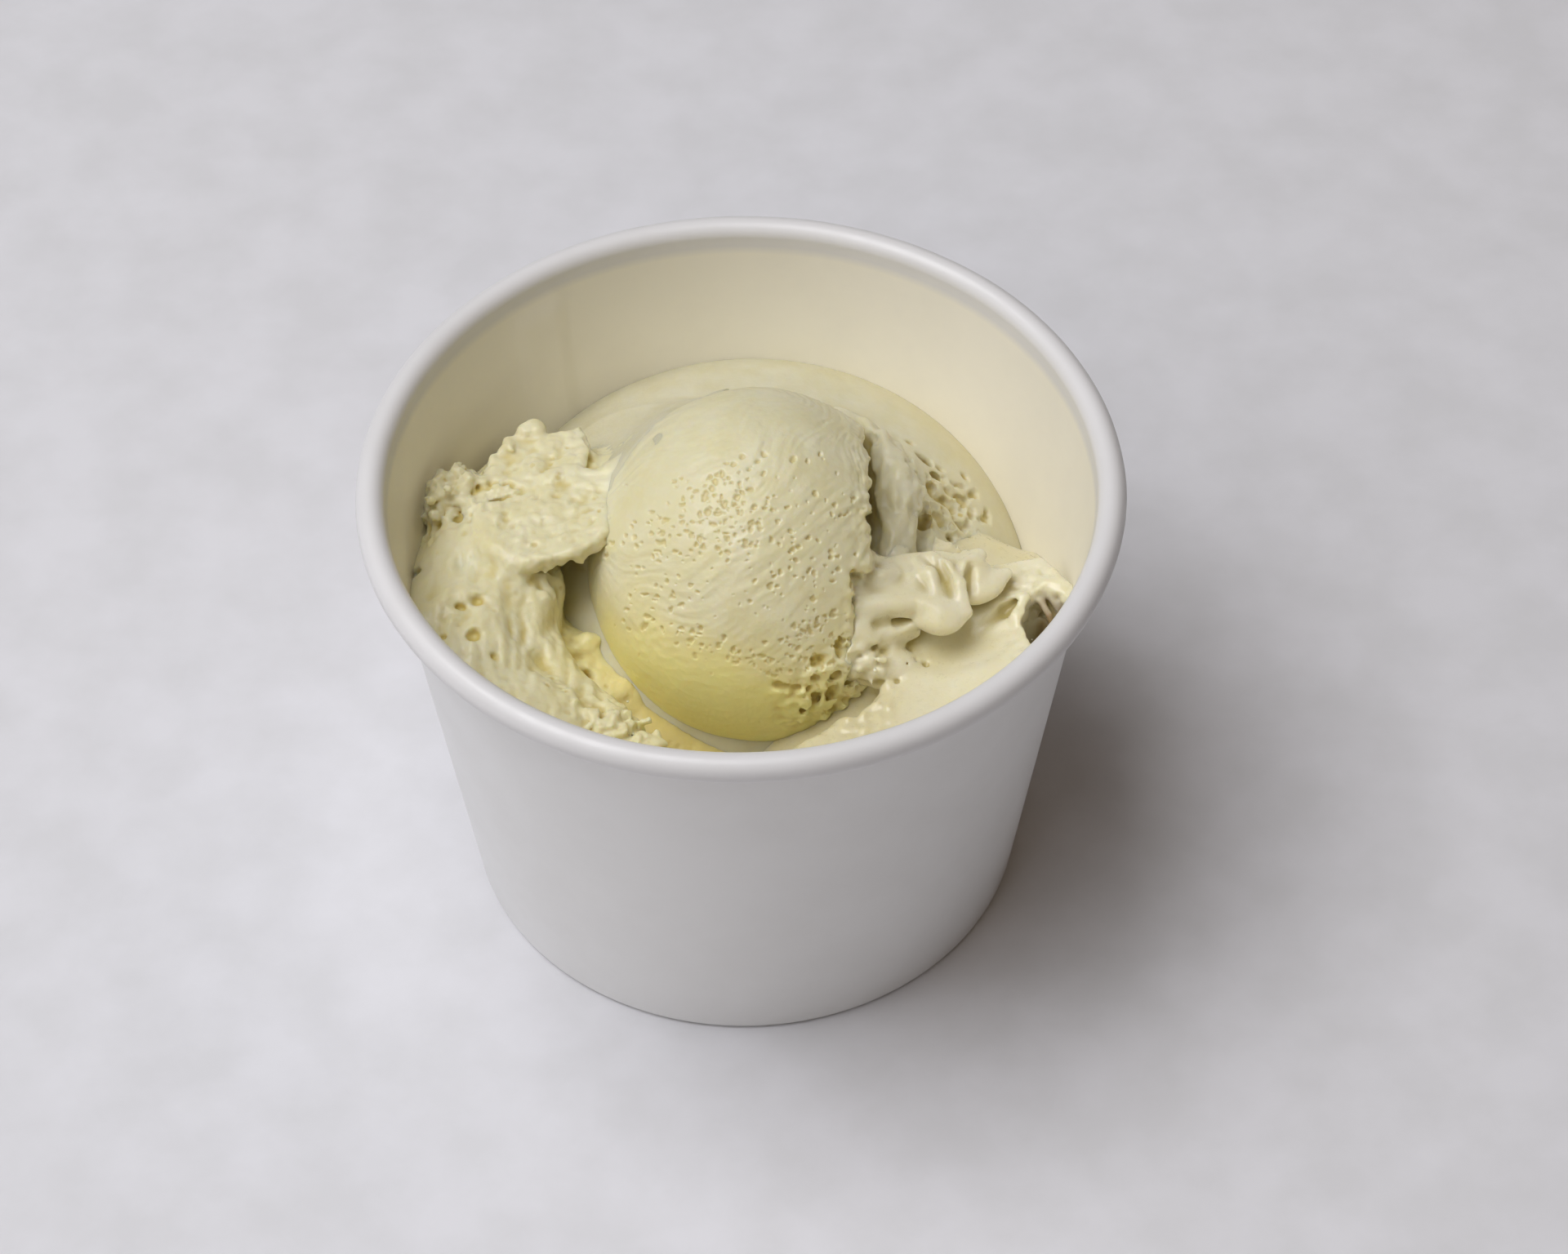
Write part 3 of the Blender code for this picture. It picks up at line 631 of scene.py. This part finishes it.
def skinOf(piece):
    mesh = piece.data
    points = np.empty(len(mesh.vertices) * 3, np.float32)
    mesh.vertices.foreach_get("co", points)
    normals = np.empty(len(mesh.vertices) * 3, np.float32)
    mesh.vertex_normals.foreach_get("vector", normals)
    return points.reshape(-1, 3) / mm, normals.reshape(-1, 3)


def wallRoom(points):  # how far inside the cup wall each point lies
    return wallFoot - cup["paper"] / 2 + wallSlope * points[:, 2] - np.hypot(points[:, 0], points[:, 1])


def thinned(piece, cover, most):  # fewer triangles where the skin is covered or deep down
    points, normals = skinOf(piece)
    hidden = (points[:, 2] < skinning["deep"]) | (wallRoom(points) < 0.1)
    hidden &= points[:, 2] < skinning["alwaysShown"]
    for clay in cover:
        hidden |= sample(clay, points) < -skinning["covered"]
    group = piece.vertex_groups.new(name="covered")
    group.add(np.nonzero(hidden)[0].tolist(), 1.0, "REPLACE")
    total = sum(len(face.vertices) - 2 for face in piece.data.polygons)
    thin = piece.modifiers.new("thin", "DECIMATE")
    thin.vertex_group, thin.ratio = "covered", min(1.0, most / total)
    with bpy.context.temp_override(object=piece):
        bpy.ops.object.modifier_apply(modifier="thin")
    piece.vertex_groups.clear()


def refined(piece, chosen):  # each chosen face cut in four, for finer bubbles
    shape = bmesh.new()
    shape.from_mesh(piece.data)
    edges = [edge for edge in shape.edges if any(chosen[face.index] for face in edge.link_faces)]
    bmesh.ops.subdivide_edges(shape, edges=edges, cuts=1, use_grid_fill=True)
    shape.to_mesh(piece.data)
    shape.free()


def bubblesAt(points, size, seed, share=1.0):  # scattered round cells, up to 1 in their middles
    jitter = np.random.default_rng(seed).random((16, 16, 16, 4)).astype(np.float32)
    q = (points / size).astype(np.float32)
    cell = np.floor(q).astype(np.int32)
    best = np.zeros(len(points), np.float32)
    for step in np.ndindex(3, 3, 3):
        at = cell + np.array(step) - 1
        own = jitter[at[:, 0] & 15, at[:, 1] & 15, at[:, 2] & 15]
        far = np.sqrt(((at + own[:, :3] - q) ** 2).sum(1))
        best = np.maximum(best, np.where(own[:, 3] < share, 1 - far / (0.25 + 0.35 * own[:, 3]), 0))
    return np.clip(best * 2.2, 0, 1)


def finished(piece, points, normals, amount, clay, bubbleAndShade, dense):
    # moves the skin along its normals, less towards the cup wall, and keeps its marks for the material:
    # painted shade in dents, bubbles and other shaded places, a paler painted highlight on bumps, and the
    # dense tint
    # concave skin is marked for painted shade, convex skin for a paler painted highlight
    hollow = -sampleSmooth(averaged(clay, skinning["blur"]), points) / skinning["fullDent"]
    dent = np.maximum(np.clip(hollow, -1, 1), bubbleAndShade - 0.1)
    points = points + normals * (amount * np.clip(wallRoom(points) / 0.8, 0.05, 1))[:, None]
    over = np.minimum(wallRoom(points) + skinning["intoWall"], 0)
    points[:, :2] *= 1 + over[:, None] / skinning["usualRadius"]
    piece.data.vertices.foreach_set("co", (points * mm).astype(np.float32).ravel())
    piece.data.update()
    for name, values in (("dent", dent), ("dense", dense)):
        layer = piece.data.attributes.new(name, "FLOAT", "POINT")
        layer.data.foreach_set("value", np.asarray(values, np.float32))
    triangles = sum(len(face.vertices) - 2 for face in piece.data.polygons)
    print(piece.name, "skinned:", triangles, "triangles")


def poresOn(right, up):  # the front scoop's bubbles, as bowls up to 1 deep in their middles
    bubbleAndShade = np.zeros(len(right))
    draw = np.random.default_rng(21)
    for patchRight, patchUp, wide, high, turn, number, largest in front["bubbles"]:
        c, s = math.cos(math.radians(turn)), math.sin(math.radians(turn))
        for _ in range(number):
            along, over = draw.normal(size=2) * 0.5 * (wide, high)
            radius = 0.17 + (largest - 0.17) * draw.random() ** 1.6
            stretch = draw.uniform(0.8, 1.2)
            near = np.hypot((right - patchRight - c * along + s * over) * stretch,
                (up - patchUp - s * along - c * over) / stretch)
            bowl = np.clip(1.25 * (1 - (near / radius) ** 2), 0, 1)
            bubbleAndShade = np.maximum(bubbleAndShade, bowl * min(1, radius / 0.32))
    return bubbleAndShade


frontScoop = skinPiece("frontScoop", scoop)
thinned(frontScoop, [fold], 70000)
points, normals = skinOf(frontScoop)
q = points - scoopCentre
u, v, w = q @ across, q @ upSlope, q @ outSlope
shown = (w > 3) & (sample(fold, points) > -0.4) & (wallRoom(points) > 1)
shown &= (v < 16) & (v > -21)
faceOf = [shown[list(face.vertices)].all() for face in frontScoop.data.polygons]
refined(frontScoop, faceOf)
points, normals = skinOf(frontScoop)
q = points - scoopCentre
u, v, w = q @ across, q @ upSlope, q @ outSlope
edge = front["bandEdge"] - front["bandSlope"] * (u + 5)
band = 1 / (1 + np.exp((v - edge + 0.9 * noiseAt(points, 2.5, 302)) / 0.6))  # the smooth band below
turned = np.radians(34 + 22 * noiseAt(points, 11.0, 301) + 1.2 * u)
a, b = u * np.cos(turned) + v * np.sin(turned), v * np.cos(turned) - u * np.sin(turned)
strokes = noiseAt(np.stack([a / 5.5, b / 1.2, w / 3.5], 1), 1.0, 303)
fine = noiseAt(np.stack([a / 2.2, b / 0.6, w / 1.6], 1), 1.0, 304)
amount = (1 - band) * (0.085 * strokes + 0.035 * fine + 0.02 * noiseAt(points, 0.7, 305)) - 0.14 * band
amount += band * (0.015 * noiseAt(points, 0.6, 311) + 0.03 * noiseAt(points, (3, 1, 1), 307))
amount += 0.1 * noiseAt(points, 6.0, 308)
shifted = np.stack([u + 0.2 * noiseAt(points, 0.8, 312), v + 0.2 * noiseAt(points, 0.8, 313)], 1)
bubbleAndShade = np.where(w > 0, poresOn(shifted[:, 0], shifted[:, 1]), 0)
amount -= (1 - 0.7 * band) * 0.25 * bubbleAndShade
# yellower tint on the smooth lower band: partly the packed gelato's own colour, partly painted warm bounce
# light in its shade; the bubbles pass on as painted shade
bandTintAndBounce = 1 / (1 + np.exp((v - edge + 0.4 + 1.5 * noiseAt(points, 4.0, 302)) / 1.6))
finished(frontScoop, points, normals, amount, scoop, 0.6 * bubbleAndShade, bandTintAndBounce)

backScoop = skinPiece("backScoop", back)
thinned(backScoop, [scoop, fold], 170000)
points, normals = skinOf(backScoop)
x, y, wide, high = dome["spongy"]
craggy = np.exp(-((points[:, 0] - x) / wide) ** 2 - ((points[:, 1] - y) / high) ** 2)
craggy = np.clip(1.4 * craggy, 0, 1)
bubbleAndShade = craggy * bubblesAt(points, 1.3, 324, 0.7)
amount = 0.12 * noiseAt(points, 5.0, 321) + 0.04 * noiseAt(points, (1.4, 4.0, 2.0), 322) - 0.2 * bubbleAndShade
# painted shade: darker towards the cup wall, most on the right, and a little over the whole scoop
shadeNearWall = np.clip(1 - wallRoom(points) / 12, 0, 1) * np.clip((points[:, 0] + 5) / 25, 0, 1)
shadeNearWall = 0.35 * shadeNearWall + 0.1
finished(backScoop, points, normals, amount, back, np.maximum(bubbleAndShade, shadeNearWall), 0 * amount)

leftHeap = skinPiece("leftHeap", heap)
thinned(leftHeap, [scoop, fold, back], 190000)
points, normals = skinOf(leftHeap)
patchy = np.clip(0.4 + noiseAt(points, 5.0, 331), 0.0, 1)
bubbleAndShade = patchy * bubblesAt(points, 1.4, 336, 0.4)
# painted shade: the heap is darker lower down
lowShade = 0.4 * np.clip((41 - points[:, 2]) / 5, 0, 1) + 0.35 * np.clip((37 - points[:, 2]) / 3, 0, 1)
amount = patchy * 0.08 * bubblesAt(points, 0.9, 335, 0.75) - 0.22 * bubbleAndShade
for size, depth, seed in ((2.2, 0.1, 332), (1.0, 0.06, 333), (0.6, 0.03, 334)):
    amount += depth * noiseAt(points, size, seed)
# painted warm bounce light: a yellower tint lower down
lowBounceTint = 0.5 * np.clip((46 - points[:, 2]) / 7, 0, 1)
finished(leftHeap, points, normals, amount, heap, np.maximum(bubbleAndShade, lowShade), lowBounceTint)

rightFold = skinPiece("rightFold", fold)
thinned(rightFold, [scoop], 150000)
points, normals = skinOf(rightFold)
centre, radii = foldShape["hole"]
far = [(points[:, k] - centre[k] - past) / (radii[k] + 0.5) for k, past in ((0, 0.3), (1, 0.0))]
far = np.hypot(*far)
# brown inside the hole, below its top: partly a dried stain, partly painted shade
stainAndShade = np.clip((1.05 - far) * 5, 0, 1) * np.clip((44.6 - points[:, 2]) / 1.5, 0, 1)
stainAndShade *= np.clip(0.8 + 0.6 * noiseAt(points, (1.2, 1.2, 5), 345), 0.2, 1)
amount = 0.08 * noiseAt(points, 4.0, 341) + 0.03 * noiseAt(points, 1.6, 342)
shaded = 0.46 * np.clip((43.8 - points[:, 2]) / 2, 0, 1)
finished(rightFold, points, normals, amount, fold, shaded, stainAndShade)
print("gelato: four pieces skinned")


def newMaterial(name):
    made = bpy.data.materials.new(name)
    made.use_nodes = True
    made.node_tree.nodes.clear()
    return made, made.node_tree


def blended(tree, below, colour, share):  # the colour laid over the one below it, by its share
    mix = addNode(tree, "ShaderNodeMix", {"data_type": "RGBA"}, i6=below, i0=share)
    mix.inputs[7].default_value = toLinear(colour)
    return mix.outputs[2]


# pistachio gelato, churned and then pressed by a spade: a dense milky paste, a little see-through, so its
# shadows stay warm; smeared faces have a faint wet sheen. Dents, torn faces and bubbles get painted shade
# (hollow), bumps a paler painted highlight (ridge), and dense is a yellower tint: partly the paste's own
# colour, partly painted warm bounce light
# cloud is the size of its paler patches, and crystal that of its ice grain, drawn coarse so that it shows
scooped = {"tone": "#eae5c4", "deep": "#e6dfb4", "dense": "#fdf1a4", "hollow": "#d6c478",
    "ridge": "#efebd0",
    "rough": 0.42, "wet": 0.2, "cloud": 4.5, "crystal": 0.65}
shadedScooped = dict(scooped, tone="#d9d5bb", deep="#d4ceac", hollow="#ccbc7e")  # a darker, greyer copy: painted shade on the back scoop
melting = dict(scooped, tone="#e8e3c8", deep="#e3dcb8", dense="#7b5a3c", hollow="#c3b478", ridge="#eae6cc",
    rough=0.31, wet=0.4)  # softer and wetter; the brown in the hole is partly a dried stain, partly painted shade


def gelatoMaterial(name, look):
    made, tree = newMaterial(name)
    place = addNode(tree, "ShaderNodeTexCoord").outputs["Object"]
    cloud = addNode(tree, "ShaderNodeTexNoise", {"Scale": 1 / (look["cloud"] * mm), "Detail": 5.0,
        "Roughness": 0.6}, Vector=place)
    spread = addNode(tree, "ShaderNodeMapRange", {"From Min": 0.35, "From Max": 0.65},
        Value=cloud.outputs["Fac"])
    mix = addNode(tree, "ShaderNodeMix", {"data_type": "RGBA"}, i0=spread.outputs[0])
    mix.inputs[6].default_value = toLinear(look["deep"])
    mix.inputs[7].default_value = toLinear(look["tone"])
    # dent paints shade into dents and bubbles (sunk, hollow) and a paler highlight onto bumps (raised,
    # ridge)
    dent = addNode(tree, "ShaderNodeAttribute", {"attribute_name": "dent"}).outputs["Fac"]
    raised = addNode(tree, "ShaderNodeMapRange", {"From Min": -0.1, "From Max": -0.8}, Value=dent)
    sunk = addNode(tree, "ShaderNodeMapRange", {"From Min": 0.08, "From Max": 0.85}, Value=dent)
    # dense lays on the yellower tint, partly own colour and partly painted bounce light; in the melting
    # look it is the hole's brown, partly stain and partly painted shade
    dense = addNode(tree, "ShaderNodeAttribute", {"attribute_name": "dense"}).outputs["Fac"]
    colour = blended(tree, mix.outputs[2], look["ridge"], raised.outputs[0])
    colour = blended(tree, colour, look["dense"], dense)
    colour = blended(tree, colour, look["hollow"], sunk.outputs[0])
    fine = addNode(tree, "ShaderNodeTexNoise", {"Scale": 1 / (look["crystal"] * mm), "Detail": 4.0,
        "Roughness": 0.6}, Vector=place)
    bump = addNode(tree, "ShaderNodeBump", {"Strength": 0.4, "Distance": 0.1 * mm},
        Height=fine.outputs["Fac"])
    shine = addNode(tree, "ShaderNodeMapRange",
        {"From Min": 0.3, "From Max": 0.7, "To Min": look["rough"] - 0.08,
        "To Max": look["rough"] + 0.1}, Value=fine.outputs["Fac"])
    shader = addNode(tree, "ShaderNodeBsdfPrincipled", {"IOR": 1.38, "Subsurface Weight": 0.6,
        "Subsurface Radius": (1.0, 0.8, 0.38), "Subsurface Scale": 1.2 * mm, "Coat Weight": look["wet"],
        "Coat Roughness": 0.2}, Base_Color=colour, Roughness=shine.outputs[0],
            Normal=bump.outputs["Normal"])
    addNode(tree, "ShaderNodeOutputMaterial", Surface=shader.outputs[0])
    return made


# cup board, white paper coated with polyethylene: a smooth satin skin with a slight pressed unevenness,
# warmer and brighter on the inner face: painted warm bounce light from the gelato
board = {"tone": "#f5f5f4", "inner": "#fdf9ec", "rim": "#e9e8e8", "smudge": "#c9c6c0", "fibre": 16,
    "dimple": 2.5}


def paperMaterial(name, look):
    made, tree = newMaterial(name)
    place = addNode(tree, "ShaderNodeTexCoord").outputs["Object"]
    shape = addNode(tree, "ShaderNodeNewGeometry")
    flat = addNode(tree, "ShaderNodeVectorMath", {"operation": "MULTIPLY"}, i0=place)
    flat.inputs[1].default_value = (1, 1, 0)
    facing = addNode(tree, "ShaderNodeVectorMath", {"operation": "DOT_PRODUCT"}, i0=flat.outputs[0],
        i1=shape.outputs["True Normal"])
    inward = addNode(tree, "ShaderNodeMapRange", {"From Min": 0.0, "From Max": -36 * mm},
        Value=facing.outputs["Value"])
    # the inner face gets painted warm bounce light
    mix = addNode(tree, "ShaderNodeMix", {"data_type": "RGBA"}, i0=inward.outputs[0])
    mix.inputs[6].default_value = toLinear(look["tone"])
    mix.inputs[7].default_value = toLinear(look["inner"])
    height = addNode(tree, "ShaderNodeSeparateXYZ", Vector=place).outputs["Z"]
    # the rolled rim is painted a little darker: painted shade
    onRim = addNode(tree, "ShaderNodeMapRange", {"From Min": 58.5 * mm, "From Max": 59.7 * mm},
        Value=height)
    fibre = addNode(tree, "ShaderNodeTexNoise", {"Scale": 1 / (look["fibre"] * mm), "Detail": 6.0,
        "Roughness": 0.6}, Vector=place)
    worn = addNode(tree, "ShaderNodeMapRange", {"From Min": 0.42, "From Max": 0.75, "To Max": 0.12},
        Value=fibre.outputs["Fac"])
    colour = blended(tree, mix.outputs[2], look["rim"], onRim.outputs[0])
    colour = blended(tree, colour, look["smudge"], worn.outputs[0])
    dimple = addNode(tree, "ShaderNodeTexNoise", {"Scale": 1 / (look["dimple"] * mm), "Detail": 3.0},
        Vector=place)
    bump = addNode(tree, "ShaderNodeBump", {"Strength": 0.15, "Distance": 0.15 * mm},
        Height=dimple.outputs["Fac"])
    sheen = addNode(tree, "ShaderNodeMapRange", {"From Min": 0.3, "From Max": 0.7, "To Min": 0.28,
        "To Max": 0.42}, Value=dimple.outputs["Fac"])
    shader = addNode(tree, "ShaderNodeBsdfPrincipled", {"IOR": 1.5}, Base_Color=colour,
        Roughness=sheen.outputs[0], Normal=bump.outputs["Normal"])
    addNode(tree, "ShaderNodeOutputMaterial", Surface=shader.outputs[0])
    return made


scoopedSkin = gelatoMaterial("pistachioGelatoScooped", scooped)
shadedSkin = gelatoMaterial("pistachioGelatoShaded", shadedScooped)
meltingSkin = gelatoMaterial("pistachioGelatoMelting", melting)
paperSkin = paperMaterial("coatedPaperboard", board)
for piece, skin, node, slot in (
    (frontScoop, scoopedSkin, "front_scoop", "gelato"), (backScoop, shadedSkin, "back_scoop", "gelato"),
    (leftHeap, scoopedSkin, "left_heap", "gelato"), (rightFold, meltingSkin, "right_fold", "soft_gelato"),
    (cupWall, paperSkin, "cup_wall", "paper"), (cupBase, paperSkin, "cup_base", "paper"),
):
    piece.data.materials.append(skin)
    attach(piece, "root")
    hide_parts(node)
print("materials: gelato and paper laid on")

view = {"lens": 100, "sensor": 36, "place": (4.94, -351.34, 429.66), "elevation": 48.291, "roll": -0.244}
raised, roll = math.radians(view["elevation"]), math.radians(view["roll"])
towards = Vector((0, -math.cos(raised), math.sin(raised)))
level, upright = Vector((1, 0, 0)), Vector((0, math.sin(raised), math.cos(raised)))
right = math.cos(roll) * level + math.sin(roll) * upright
top = -math.sin(roll) * level + math.cos(roll) * upright
cameraData = bpy.data.cameras.new("camera")
cameraData.lens, cameraData.sensor_width = view["lens"], view["sensor"]
cameraData.clip_start = 10 * mm
camera = bpy.data.objects.new("camera", cameraData)
bpy.context.scene.collection.objects.link(camera)
stand = Matrix((right, top, towards)).transposed().to_4x4()
stand.translation = Vector(view["place"]) * mm
camera.matrix_world = stand
bpy.context.scene.camera = camera
bpy.context.scene.view_settings.view_transform = "Standard"

# a honed pale stone slab: matt and nearly even, with faint clouds
slab = {"reach": 900, "dark": "#e2e2e5", "light": "#e9e9ed", "cloud": 11, "rough": 0.7}
corners = [(-1, -1), (1, -1), (1, 1), (-1, 1)]
corners = [(x * slab["reach"], y * slab["reach"], 0) for x, y in corners]
floor = meshFrom("floor", corners, [range(4)], smooth=False)
stone, tree = newMaterial("honedPaleStone")
place = addNode(tree, "ShaderNodeTexCoord").outputs["Object"]
cloud = addNode(tree, "ShaderNodeTexNoise", {"Scale": 1 / (slab["cloud"] * mm), "Detail": 6.0},
    Vector=place)
ramp = addNode(tree, "ShaderNodeValToRGB", Fac=cloud.outputs["Fac"])
for stop, position, colour in zip(ramp.color_ramp.elements, (0.35, 0.65), (slab["dark"], slab["light"])):
    stop.position, stop.color = position, toLinear(colour)
shader = addNode(tree, "ShaderNodeBsdfPrincipled", {"Roughness": slab["rough"]},
    Base_Color=ramp.outputs["Color"])
addNode(tree, "ShaderNodeOutputMaterial", Surface=shader.outputs[0])
floor.data.materials.append(stone)

room = {"tint": (1.0, 0.9, 0.8, 1), "strength": 0.038}
world = bpy.data.worlds.new("studio")
bpy.context.scene.world = world
world.use_nodes = True
backdrop = world.node_tree.nodes["Background"]
backdrop.inputs["Color"].default_value = room["tint"]
backdrop.inputs["Strength"].default_value = room["strength"]

softboxes = {  # place and size in metres, watts, tint
    "ceilingWindow": ((-0.34, 0.0, 1.076), (0.7, 0.7), 7.8, "#fcfcff"),
    "sideWindow": ((-0.5, -0.5, 0.87), (0.7, 0.7), 2.4, "#fcfcff"),
    "lowWindow": ((-0.84, 0.0, 0.71), (0.7, 0.7), 1.3, "#fcfcff"),
    "roomBounce": ((0.68, 0.35, 0.8), (0.9, 0.9), 0.6, "#f4d2ac"),
    "frontFill": ((-0.2, -0.95, 0.6), (0.9, 0.6), 0.5, "#f8d6b0"),
}
for name, (place, size, watts, tint) in softboxes.items():
    data = bpy.data.lights.new(name, "AREA")
    data.shape = "RECTANGLE"
    data.size, data.size_y = size
    data.energy, data.color = watts, toLinear(tint)[:3]
    light = bpy.data.objects.new(name, data)
    bpy.context.scene.collection.objects.link(light)
    light.location = place
    light.rotation_euler = (Vector((0, 0, 0.03)) - light.location).to_track_quat("-Z", "Y").to_euler()
print("stage: slab, camera and soft light set")
